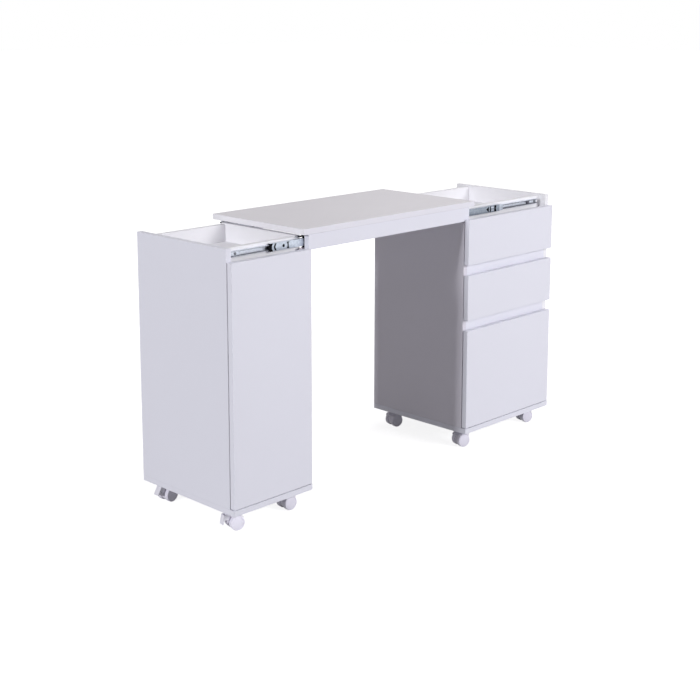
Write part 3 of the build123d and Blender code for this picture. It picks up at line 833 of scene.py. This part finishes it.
wheel_face = 21.0         # wheel's outer face from the middle of its axle
cap_profile = [(0.0, 0.75), (4.0, 0.73), (8.0, 0.6), (11.5, 0.35), (14.0, 0.05), (14.8, -0.25), (14.8, -0.98),
               (0.0, -0.98)]
for joint in frame["record"]["behaviour"]["joints"]:
    if joint["name"].endswith("_roll"):
        name = joint["name"][:-len("_roll")]
        axle = Vector(joint["axis"])
        centre = Vector(joint["pos_m"]) / MM
        caps = [stood(lathe(cap_profile, 40), centre + axle * wheel_face * way, axle * way) for way in (-1.0, 1.0)]
        new_piece(name + "_wheel_caps", caps, wheel_nylon, name + "_wheels")


# ------------------------------------------------------------------ floor, light and camera

def pale_floor():
    """Plain pale ground: white to the camera and in reflections, greyer only in the object's shadow."""
    material, tree, shader = new_material("studio_floor")
    shader.inputs["Base Color"].default_value = (0.5, 0.5, 0.5, 1)
    shader.inputs["Roughness"].default_value = 0.9
    shader.inputs["Specular IOR Level"].default_value = 0.1
    light_path = tree.nodes.new("ShaderNodeLightPath")
    shown = math_node(tree, "MAXIMUM", light_path.outputs["Is Camera Ray"],
                      math_node(tree, "MAXIMUM", light_path.outputs["Is Glossy Ray"],
                                light_path.outputs["Is Transmission Ray"]))
    distance = tree.nodes.new("ShaderNodeVectorMath")
    distance.operation = "LENGTH"
    feed(tree, object_place(tree), distance.inputs[0])
    lift = map_range(tree, distance.outputs["Value"], 0.9, 2.4, 0.84, 1.0)
    glow = tree.nodes.new("ShaderNodeEmission")
    feed(tree, math_node(tree, "MULTIPLY", shown, lift), glow.inputs["Strength"])
    both = tree.nodes.new("ShaderNodeAddShader")
    feed(tree, shader.outputs[0], both.inputs[0])
    feed(tree, glow.outputs[0], both.inputs[1])
    feed(tree, both.outputs[0], tree.nodes["Material Output"].inputs["Surface"])
    return material


def make_floor():
    ground = bmesh.new()
    bmesh.ops.create_grid(ground, x_segments=2, y_segments=2, size=30.0)
    mesh = bpy.data.meshes.new("floor")
    ground.to_mesh(mesh)
    ground.free()
    mesh.materials.append(pale_floor())
    floor = bpy.data.objects.new("floor", mesh)
    bpy.context.scene.collection.objects.link(floor)


def aim(thing, place, target):
    thing.location = place
    thing.rotation_mode = "QUATERNION"
    thing.rotation_quaternion = (Vector(target) - Vector(place)).to_track_quat("-Z", "Y")


def softbox(name, place, target, width, height, power, colour):
    lamp = bpy.data.lights.new(name, "AREA")
    lamp.shape = "RECTANGLE"
    lamp.size, lamp.size_y = width, height
    lamp.energy = power
    lamp.color = colour
    thing = bpy.data.objects.new(name, lamp)
    bpy.context.scene.collection.objects.link(thing)
    aim(thing, place, target)


def studio_world(strength):
    world = bpy.data.worlds.new("studio")
    world.use_nodes = True
    tree = world.node_tree
    ground = tree.nodes["Background"]
    light_path = tree.nodes.new("ShaderNodeLightPath")
    shown = math_node(tree, "MAXIMUM", light_path.outputs["Is Camera Ray"],
                      math_node(tree, "MAXIMUM", light_path.outputs["Is Glossy Ray"],
                                light_path.outputs["Is Transmission Ray"]))
    tint = mix_colour(tree, shown, (1.0, 0.955, 1.0, 1), (1, 1, 1, 1))
    feed(tree, tint, ground.inputs["Color"])
    rest = math_node(tree, "MULTIPLY", math_node(tree, "SUBTRACT", 1.0, shown), strength)
    feed(tree, math_node(tree, "ADD", shown, rest), ground.inputs["Strength"])
    bpy.context.scene.world = world


def make_camera():
    camera = bpy.data.cameras.new("camera")
    camera.lens = 67.638
    camera.sensor_width = 36.0
    camera.shift_x = 0.0142
    camera.shift_y = -0.16
    thing = bpy.data.objects.new("camera", camera)
    bpy.context.scene.collection.objects.link(thing)
    azimuth, elevation = math.radians(-45.228), math.radians(10.162)
    thing.location = (-2.7355, -2.6211, 1.3501)
    thing.rotation_euler = (math.pi / 2 - elevation, 0.0, azimuth)
    bpy.context.scene.camera = thing


make_floor()
studio_world(0.17)
softbox("front_light", (1.7, -7.2, 3.2), (0.1, 0.0, 0.4), width=3.4, height=2.4, power=425.0,
        colour=(0.98, 0.98, 0.995))
softbox("left_light", (-18.0, -0.4, 6.6), (0.0, 0.0, 0.5), width=2.2, height=2.2, power=1930.0,
        colour=(0.975, 0.98, 1.0))
softbox("overhead_light", (2.2, 1.0, 2.7), (0.3, 0.1, 0.7), width=2.0, height=2.0, power=12.0,
        colour=(1.0, 0.98, 0.99))
make_camera()
bpy.context.scene.view_settings.view_transform = "Standard"
